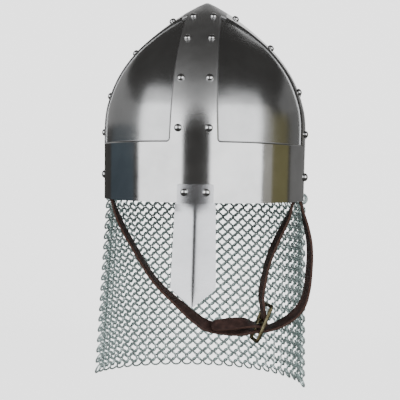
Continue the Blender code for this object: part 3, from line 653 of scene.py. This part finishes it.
def window_cutters():
    """Blocks that cut the four windows between the bands, each with a rounded corner at the front."""
    inner = Vector((FRONT_BAND_FOOT / 2, SIDE_BAND / 2, BROW_HEIGHT))
    outer = Vector((CUTTER_REACH, CUTTER_REACH, DOME_HEIGHT + CUTTER_OVER))
    size = outer - inner
    bpy.ops.mesh.primitive_cube_add(size=1, location=(inner + outer) / 2, scale=size)
    block = bpy.context.object
    only(block)
    bpy.ops.object.transform_apply(location=True, rotation=False, scale=True)
    shape = bmesh.new()
    shape.from_mesh(block.data)
    taper = FRONT_BAND_TAPER * size.z
    for corner in shape.verts:
        if corner.co.x < inner.x + MM and corner.co.z > outer.z - MM:
            corner.co.x -= taper
    shape.to_mesh(block.data)
    shape.free()
    bpy.ops.object.mode_set(mode="EDIT")
    bpy.ops.mesh.select_mode(type="EDGE")
    bpy.ops.mesh.select_all(action="DESELECT")
    drawn = bmesh.from_edit_mesh(block.data)
    for edge in drawn.edges:
        edge.select_set(all(corner.co.x < inner.x + MM and corner.co.z < inner.z + MM
                            for corner in edge.verts))
    bmesh.update_edit_mesh(block.data)
    bpy.ops.mesh.bevel(offset=CORNER_RADIUS, segments=8, affect="EDGES")
    bpy.ops.mesh.select_mode(type="VERT")
    bpy.ops.object.mode_set(mode="OBJECT")
    apply(block, "MIRROR", use_axis=(True, True, False), use_mirror_merge=False)
    return block


def make_frame(steel):
    """Brow band and the four bands to the crown, in one smooth plate with its windows cut out."""
    piece = dome_sheet("skull_frame")
    apply(piece, "SOLIDIFY", thickness=PLATE, offset=-1.0, use_even_offset=True)
    cutter = window_cutters()
    apply(piece, "BOOLEAN", object=cutter, operation="DIFFERENCE", solver="EXACT")
    bpy.data.objects.remove(cutter)
    smooth(piece, 30)
    return dressed(piece, steel, "skull_steel", "frame")


def make_panels(steel):
    """Four skull plates behind the windows, lapped under the bands."""
    names = {(1, -1): "panel_front_left", (1, 1): "panel_back_left",
             (-1, 1): "panel_back_right", (-1, -1): "panel_front_right"}
    for (across, along), node in names.items():
        piece = dome_sheet(node + "_plate")
        apply(piece, "DISPLACE", strength=-PANEL_DEPTH, mid_level=0.0)
        cut_away(piece, (0, 0, PANEL_TOP), (0, 0, 1))
        cut_away(piece, (0, 0, PANEL_FOOT), (0, 0, -1))
        cut_away(piece, (across * PANEL_FRONT_START, 0, 0), (-across, 0, 0))
        cut_away(piece, (0, along * PANEL_SIDE_START, 0), (0, -along, 0))
        apply(piece, "SOLIDIFY", thickness=PLATE, offset=-1.0, use_even_offset=True)
        smooth(piece, 30)
        dressed(piece, steel, "panel_steel", node)


# rivets

def make_rivets(steel):
    """One rivet turned and copied to the place of each CAD rivet."""
    height = RIVET_HEAD_HEIGHT
    angles = [math.radians(step * 11.25) for step in range(1, 8)]
    dome = [(RIVET_HEAD_RADIUS * math.sin(angle), height * math.cos(angle) ** 0.8) for angle in angles]
    head = [(0.0, height)] + dome + [(RIVET_HEAD_RADIUS, height * 0.12), (RIVET_HEAD_RADIUS * 0.97, 0.0)]
    shank = [(RIVET_SHANK_RADIUS, -0.2 * MM), (RIVET_SHANK_RADIUS, -RIVET_SHANK_DEPTH)]
    clench = [(RIVET_CLENCH_RADIUS, -RIVET_SHANK_DEPTH - 0.3 * MM),
              (RIVET_CLENCH_RADIUS - 0.4 * MM, -RIVET_DEPTH + 0.2 * MM), (0.0, -RIVET_DEPTH)]
    model = turned("rivet", head + shank + clench, RIVET_SIDES)
    smooth(model, 50)
    for node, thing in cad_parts.items():
        if not node.startswith("rivet"):
            continue
        turn, place, size = rivet_place(node, thing)
        spot = Matrix.Translation(place) @ turn @ Matrix.Diagonal((size, size, size, 1.0))
        piece = copy_of(model, node + "_head", spot)
        dressed(piece, steel, "rivet_steel", node)
    bpy.data.objects.remove(model)


def rivet_place(node, thing):
    """Direction, seat and size of a rivet, read from the CAD rivet's own head."""
    low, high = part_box(node)
    middle = (Vector(low) + Vector(high)) / 2
    if middle.z > DOME_HEIGHT * 0.2:
        height = middle.z
    else:
        height = min(middle.z, BROW_HEIGHT / 2)
    angle = math.atan2(middle.x / HALF_WIDTH, -middle.y / HALF_LENGTH)
    normal = SKULL.normal(angle, height)
    seat = SKULL.point(angle, height)
    size = 1.0
    if "nasal" in node:
        seat = seat + normal * (NASAL_PLATE + NASAL_RIVET_LIFT)
    if "strap" in node:
        size = STRAP_RIVET_SIZE
    turn = Vector((0, 0, 1)).rotation_difference(normal).to_matrix().to_4x4()
    return turn, seat, size


# nose guard

def make_nasal(steel):
    """Ridged plate that widens a little downward and ends in a point, with a tab on the brow band."""
    columns = [-share for share in NASAL_HALF_COLUMNS] + [0.0] + list(reversed(NASAL_HALF_COLUMNS))
    rows = [nasal_row(height * MM, NASAL_TAB_HALF, columns) for height in NASAL_TAB_ROWS]
    rows.append(nasal_row(-0.6 * MM, NASAL_TOP_HALF - 0.5 * MM, columns))
    for step in range(NASAL_BLADE_STEPS + 1):
        low = 1.4 * MM + (NASAL_STRAIGHT - 1.4 * MM) * step / NASAL_BLADE_STEPS
        half = NASAL_TOP_HALF + (NASAL_LOW_HALF - NASAL_TOP_HALF) * low / NASAL_STRAIGHT
        rows.append(nasal_row(-low, half, columns))
    for share in NASAL_POINT_SHARES:
        low = NASAL_STRAIGHT + (NASAL_LENGTH - NASAL_STRAIGHT) * share
        rows.append(nasal_row(-low, NASAL_LOW_HALF * (1 - share), columns))
    piece = drawn_out("nose_guard", rows)
    outward(piece)
    faces_forward(piece)
    apply(piece, "SOLIDIFY", thickness=NASAL_PLATE, offset=1.0, use_even_offset=False)
    apply(piece, "BEVEL", width=NASAL_EDGE, segments=2, limit_method="ANGLE", angle_limit=math.radians(60))
    smooth(piece, 14)
    return dressed(piece, steel, "skull_steel", "nasal")


def nasal_row(height, half, columns):
    """One row of the nose guard's inner face: curved like the band above the rim, ridged below it."""
    low = max(-height, 0.0)
    ridge = min(low / (NASAL_STRAIGHT * NASAL_RIDGE_RUN), 1.0)
    ridge = ridge * ridge * (3 - 2 * ridge)
    depth = HALF_LENGTH * SKULL.radius(max(height, 0.0)) / HALF_WIDTH + NASAL_STAND_OFF
    reach = SKULL.radius(max(height, 0.0))
    soft = NASAL_FOLD * min(half / NASAL_TOP_HALF, 1.0)
    row = []
    for share in columns:
        across = share * half + NASAL_SHIFT
        curved = -depth * math.sqrt(1 - (across / reach) ** 2)
        rounded = math.hypot(share * half, soft) - soft
        fold = -depth + NASAL_RIDGE * rounded / NASAL_LOW_HALF
        row.append(Vector((across, curved + (fold - curved) * ridge - low * NASAL_LEAN, height)))
    return row


def faces_forward(piece):
    """Turns an open sheet's faces to the front."""
    tilt = sum(face.normal.y * face.area for face in piece.data.polygons)
    if tilt > 0:
        only(piece)
        bpy.ops.object.mode_set(mode="EDIT")
        bpy.ops.mesh.select_all(action="SELECT")
        bpy.ops.mesh.flip_normals()
        bpy.ops.object.mode_set(mode="OBJECT")


# mail

def mail_plan(drop):
    """Half width, half length and side shift of the mail's middle line at a share of its drop."""
    half_width = HALF_WIDTH * SKULL_PROFILE[0][1] - PLATE / 2
    half_length = HALF_LENGTH * SKULL_PROFILE[0][1] - PLATE / 2
    return half_width + MAIL_FLARE * drop, half_length - MAIL_FLARE * drop, -MAIL_SWAY * drop


def mail_line(drop):
    """Run along the mail's plan at a share of its drop, and the angle at each run."""
    half_width, half_length, _ = mail_plan(drop)
    angles = np.linspace(-MAIL_ARC, MAIL_ARC, MAIL_ARC_SPOTS)
    line = np.column_stack((half_width * np.sin(angles), half_length * np.cos(angles)))
    run = travel(line)
    return run - run[len(run) // 2], angles


def mail_spot(along, drop, line):
    """Plan point and outward direction at a distance along the mail from the middle of the back."""
    half_width, half_length, shift = mail_plan(drop)
    angle = float(np.interp(along, *line))
    point = Vector((half_width * math.sin(angle) + shift, half_length * math.cos(angle), 0.0))
    return point, Vector((math.sin(angle) / half_width, math.cos(angle) / half_length, 0.0)).normalized()


def make_mail(wire):
    """Four-in-one mail: each ring is a copy of one, set leaning one way in even rows and back in odd."""
    bpy.ops.mesh.primitive_torus_add(major_segments=RING_SIDES, minor_segments=WIRE_SIDES,
                                     major_radius=RING_RADIUS, minor_radius=WIRE_RADIUS)
    model = bpy.context.object
    half_reach = (MAIL_COLUMNS - 1) / 2 * MAIL_PITCH
    rings = []
    for row in range(MAIL_ROWS):
        drop = row / (MAIL_ROWS - 1)
        line = mail_line(drop)
        offset = 0.5 * (row % 2)
        lean = RING_TILT if row % 2 else -RING_TILT
        for column in range(MAIL_COLUMNS - row % 2):
            along = (column + offset) * MAIL_PITCH - half_reach
            side = along / half_reach
            rise = (RIGHT_RISE if side < 0 else LEFT_RISE) * side ** 2
            height = FIRST_ROW + (LAST_ROW - FIRST_ROW) * drop * (1 - rise)
            point, out = mail_spot(along, drop, line)
            rings.append(ring_matrix(point + Vector((0, 0, height)), out, lean, RING_PLAY_DEG))
    hangers = []
    line = mail_line(0.0)
    for column in range(MAIL_COLUMNS):
        point, out = mail_spot(column * MAIL_PITCH - half_reach, 0.0, line)
        centre = point + Vector((0, 0, HANGER_HEIGHT)) - out * HANGER_INSET
        hangers.append(ring_matrix(centre, Vector((0, 0, 1)).cross(out), 0.0, 0.0))
    mail = joined("mail_rings", [copy_of(model, "ring", spot) for spot in rings])
    smooth(mail, 60)
    dressed(mail, wire, "mail_steel", "aventail")
    loops = joined("hanger_rings", [copy_of(model, "hanger", spot) for spot in hangers])
    smooth(loops, 60)
    dressed(loops, wire, "mail_steel", "aventail")
    bpy.data.objects.remove(model)


def ring_matrix(centre, axis, lean, play_deg):
    """Place of a ring whose own axis leans up or down and a little sideways, with some play."""
    play = Matrix.Rotation(math.radians(random.uniform(-play_deg, play_deg)), 3, "Z")
    raised = Matrix.Rotation(lean, 3, Vector((0, 0, 1)).cross(axis)) @ axis
    leaned = play @ Matrix.Rotation(lean * RING_SWING, 3, "Z") @ raised
    turn = Vector((0, 0, 1)).rotation_difference(leaned).to_matrix().to_4x4()
    return Matrix.Translation(centre) @ turn


# straps and buckle

def buckle_axes():
    """Direction down the buckle's length, and the direction of its bars."""
    bar = Vector((-math.sin(BUCKLE_YAW), math.cos(BUCKLE_YAW), 0.0))
    level = Vector((-math.cos(BUCKLE_YAW), -math.sin(BUCKLE_YAW), 0.0))
    down = level * math.cos(BUCKLE_SLOPE) - Vector((0, 0, 1)) * math.sin(BUCKLE_SLOPE)
    return down, bar


def around_bar(radius, first_deg, last_deg, steps):
    """Points round the buckle's middle bar."""
    _, bar = buckle_axes()
    level = bar.cross(Vector((0, 0, 1)))
    points = []
    for step in range(steps + 1):
        angle = math.radians(first_deg + (last_deg - first_deg) * step / steps)
        points.append(BUCKLE_CENTRE + (level * math.cos(angle) + Vector((0, 0, math.sin(angle)))) * radius)
    return points


def strap_angle(side, height):
    return side * math.acos(STRAP_FORWARD / (HALF_LENGTH * SKULL.radius(height) / HALF_WIDTH))


def band_lining(side, height):
    """Middle of a strap that lies against the inside of the brow band."""
    return np.array(SKULL.point(strap_angle(side, height), height, STRAP_SINK - STRAP_THICKNESS / 2))


def strap_table(table):
    points = [np.array((across * HALF_WIDTH, -forward, -drop * STRAP_DROP))
              for across, drop, forward, _ in table]
    return points, [math.radians(turn) for *_, turn in table]


def strap_yaws(path):
    """Yaw of a strap's width: square to the band at the rim, and to the bar at the buckle."""
    away = np.linalg.norm(path - np.array(BUCKLE_CENTRE), axis=1)
    near_buckle = np.clip(1.0 - (away - BUCKLE_LENGTH * 0.3) / BUCKLE_LENGTH, 0.0, 1.0)
    normal = SKULL.normal(strap_angle(1, STRAP_RIVET_HEIGHT), STRAP_RIVET_HEIGHT)
    near_rim = np.clip(1.0 + path[:, 2] / STRAP_EASE, 0.0, 1.0)
    return BUCKLE_YAW * near_buckle + math.atan2(normal.y, normal.x) * np.sign(path[:, 0]) * near_rim


def make_strap(name, path, turns, leathers, node, widths=None):
    """A leather strap along its path, with slightly rounded, lighter cut edges."""
    tangents = np.gradient(path, axis=0)
    yaws = strap_yaws(path)
    rows = []
    for place in range(len(path)):
        tangent = tangents[place] / np.linalg.norm(tangents[place])
        side = np.array((-math.sin(yaws[place]), math.cos(yaws[place]), 0.0))
        side -= tangent * side.dot(tangent)
        side /= np.linalg.norm(side)
        face = np.cross(tangent, side)
        side = side * math.cos(turns[place]) + face * math.sin(turns[place])
        width = STRAP_WIDTH * (widths[place] if widths is not None else 1.0)
        rows.append([Vector(path[place] + side * width * share) for share in STRAP_COLUMNS])
    piece = drawn_out(name, rows)
    only(piece)
    piece.data.materials.append(leathers[0])
    piece.data.materials.append(leathers[1])
    apply(piece, "SOLIDIFY", thickness=STRAP_THICKNESS, offset=0.0, material_offset_rim=1,
          use_even_offset=False)
    apply(piece, "BEVEL", width=STRAP_EDGE, segments=2, limit_method="ANGLE", angle_limit=math.radians(60))
    smooth(piece, 50)
    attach(piece, "root")
    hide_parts(node)


def make_straps(leathers):
    heights = (STRAP_RIVET_HEIGHT + STRAP_HEM, STRAP_RIVET_HEIGHT, STRAP_RIVET_HEIGHT - STRAP_HEM)
    points, turns = strap_table(LONG_STRAP)
    points = [band_lining(-1, height) for height in heights] + points
    points += [band_lining(1, height) for height in (STRAP_TUCK / 3, STRAP_TUCK)]
    path, turns = smooth_path(points, [0.0] * 3 + turns + [0.0] * 2, STRAP_STEP)
    make_strap("long_chin_strap", path, turns, leathers, "strap_long")

    points, turns = strap_table(SHORT_STRAP)
    points = [band_lining(1, height) for height in heights] + points
    first_path, first_turns = smooth_path(points, [0.0] * 3 + turns, STRAP_STEP)
    radius = BUCKLE_WIRE / 2 + FOLD_GAP + STRAP_THICKNESS / 2
    wrap = np.array(around_bar(radius, *STRAP_WRAP_DEG, STRAP_WRAP_STEPS))
    points, turns = strap_table(SHORT_STRAP_END)
    end_path, end_turns = smooth_path(points, turns, STRAP_STEP)
    path = np.vstack((first_path, wrap, end_path))
    turns = np.concatenate((first_turns, np.zeros(len(wrap)), end_turns))
    widths = np.ones(len(path))
    widths[-len(STRAP_TIP_WIDTHS):] = STRAP_TIP_WIDTHS
    make_strap("short_chin_strap", path, turns, leathers, "strap_short", widths)


def round_bar(name, path, radius, closed):
    """A round bar along a path."""
    line = wire_line(name, path, closed)
    bpy.ops.object.convert(target="CURVE")
    line = bpy.context.object
    line.data.bevel_depth = radius
    line.data.bevel_resolution = 5
    line.data.use_fill_caps = True
    bpy.ops.object.convert(target="MESH")
    piece = bpy.context.object
    outward(piece)
    smooth(piece, 50)
    return piece


def make_buckle(brass):
    """Rounded brass loop with a middle bar, and the prong that is bent round the bar."""
    down, bar = buckle_axes()
    half_length = (BUCKLE_LENGTH - BUCKLE_WIRE) / 2
    half_width = (BUCKLE_WIDTH - BUCKLE_WIRE) / 2
    path = []
    for corner, (along, across) in enumerate(((1, 1), (1, -1), (-1, -1), (-1, 1))):
        pivot = BUCKLE_CENTRE + down * along * (half_length - BUCKLE_CORNER)
        pivot = pivot + bar * across * (half_width - BUCKLE_CORNER)
        for step in range(7):
            angle = math.radians(90 * corner + 15 * step)
            path.append(pivot + (bar * math.cos(angle) + down * math.sin(angle)) * BUCKLE_CORNER)
    loop = round_bar("buckle_loop", path, BUCKLE_WIRE / 2, True)
    middle = round_bar("middle_bar", [BUCKLE_CENTRE - bar * half_width, BUCKLE_CENTRE + bar * half_width],
                       MIDDLE_BAR_RADIUS, False)
    apply(loop, "BOOLEAN", object=middle, operation="UNION", solver="EXACT")
    bpy.data.objects.remove(middle)
    smooth(loop, 50)
    dressed(loop, brass, "buckle_brass", "buckle_frame")

    radius = BUCKLE_WIRE / 2 + FOLD_GAP + PRONG_THICKNESS / 2
    path = around_bar(radius, *PRONG_WRAP_DEG, PRONG_WRAP_STEPS)
    start = path[-1]
    for step in range(1, PRONG_STEPS + 1):
        path.append(start + down * BUCKLE_LENGTH * PRONG_SHARE * step / PRONG_STEPS)
    rows = [[point - bar * PRONG_WIDTH / 2, point + bar * PRONG_WIDTH / 2] for point in path]
    prong = drawn_out("prong", rows)
    apply(prong, "SOLIDIFY", thickness=PRONG_THICKNESS, offset=0.0)
    apply(prong, "BEVEL", width=PRONG_EDGE, segments=3, limit_method="ANGLE", angle_limit=math.radians(60))
    smooth(prong, 50)
    dressed(prong, brass, "buckle_brass", "buckle_prong")


# studio

def make_stage():
    """White floor that curves up into a back wall; neither is seen in the steel."""
    turns = [math.radians(turn) for turn in range(9, 91, 9)]
    profile = [(STAGE_FRONT, FLOOR), (STAGE_BACK, FLOOR)]
    profile += [(STAGE_BACK + COVE_RADIUS * math.sin(turn), FLOOR + COVE_RADIUS * (1 - math.cos(turn)))
                for turn in turns]
    profile.append((STAGE_BACK + COVE_RADIUS, STAGE_TOP))
    edges = (-STAGE_HALF_WIDTH, STAGE_HALF_WIDTH)
    rows = [[Vector((across, along, height)) for across in edges] for along, height in profile]
    cove = drawn_out("studio_cove", rows)
    smooth(cove, 40)
    cove.data.materials.append(studio_white("studio white", STAGE_GLOW))
    cove.visible_glossy = False
    cove.visible_diffuse = False


def make_light(name, place, target, size, power, colour):
    light = bpy.data.lights.new(name, "AREA")
    light.shape = "RECTANGLE"
    light.size, light.size_y = size
    light.energy = power
    light.color = colour
    lamp = bpy.data.objects.new(name, light)
    lamp.location = place
    lamp.rotation_euler = (Vector(target) - Vector(place)).to_track_quat("-Z", "Y").to_euler()
    bpy.context.scene.collection.objects.link(lamp)


def set_card(name, azimuths, elevations, distance, glow, colour):
    """A flat soft light that spans these angles as seen from the helmet."""
    middle = math.radians(sum(azimuths) / 2)
    lift = math.radians(sum(elevations) / 2)
    width = 2 * distance * math.tan(math.radians(azimuths[1] - azimuths[0]) / 2)
    height = 2 * distance * math.tan(math.radians(elevations[1] - elevations[0]) / 2)
    away = Vector((math.cos(lift) * math.sin(middle), -math.cos(lift) * math.cos(middle), math.sin(lift)))
    power = glow * width * height * math.pi
    make_light(name, CARD_AIM + away * distance, CARD_AIM, (width, height), power, colour)


def make_lights():
    """Soft lights at both sides of the camera, with the space above and between them dark."""
    for card in CARDS:
        set_card(*card)


def make_world():
    world = bpy.data.worlds.new("studio")
    world.use_nodes = True
    sky = world.node_tree.nodes["Background"]
    sky.inputs["Color"].default_value = ROOM_COLOUR
    sky.inputs["Strength"].default_value = ROOM_GLOW
    bpy.context.scene.world = world


def make_camera():
    camera = bpy.data.cameras.new("camera")
    camera.sensor_width = SENSOR
    camera.lens = SENSOR * FOCAL_SHARE
    camera.shift_x = SHIFT_ACROSS
    camera.shift_y = SHIFT_UP
    holder = bpy.data.objects.new("camera", camera)
    holder.location = (CAMERA_DISTANCE * math.sin(CAMERA_AZIMUTH),
                       -CAMERA_DISTANCE * math.cos(CAMERA_AZIMUTH), CAMERA_HEIGHT)
    level = Matrix.Rotation(CAMERA_AZIMUTH, 3, "Z") @ Matrix.Rotation(math.pi / 2, 3, "X")
    holder.rotation_euler = (level @ Matrix.Rotation(CAMERA_ROLL, 3, "Z")).to_euler()
    bpy.context.scene.collection.objects.link(holder)
    bpy.context.scene.camera = holder


def main():
    steel = polished_steel("skull steel", part="bands")
    panel_steel = polished_steel("panel steel", PANEL_TINT, PANEL_DULL, "plates")
    make_frame(steel)
    make_panels(panel_steel)
    make_rivets(polished_steel("rivet steel", dull=RIVET_DULL))
    make_nasal(polished_steel("nose guard steel", NASAL_TINT, NASAL_DULL))
    make_mail(mail_wire("mail wire"))
    make_straps((strap_leather("strap leather"), cut_leather("cut leather")))
    make_buckle(old_brass("old brass"))
    make_stage()
    make_lights()
    make_world()
    make_camera()


main()
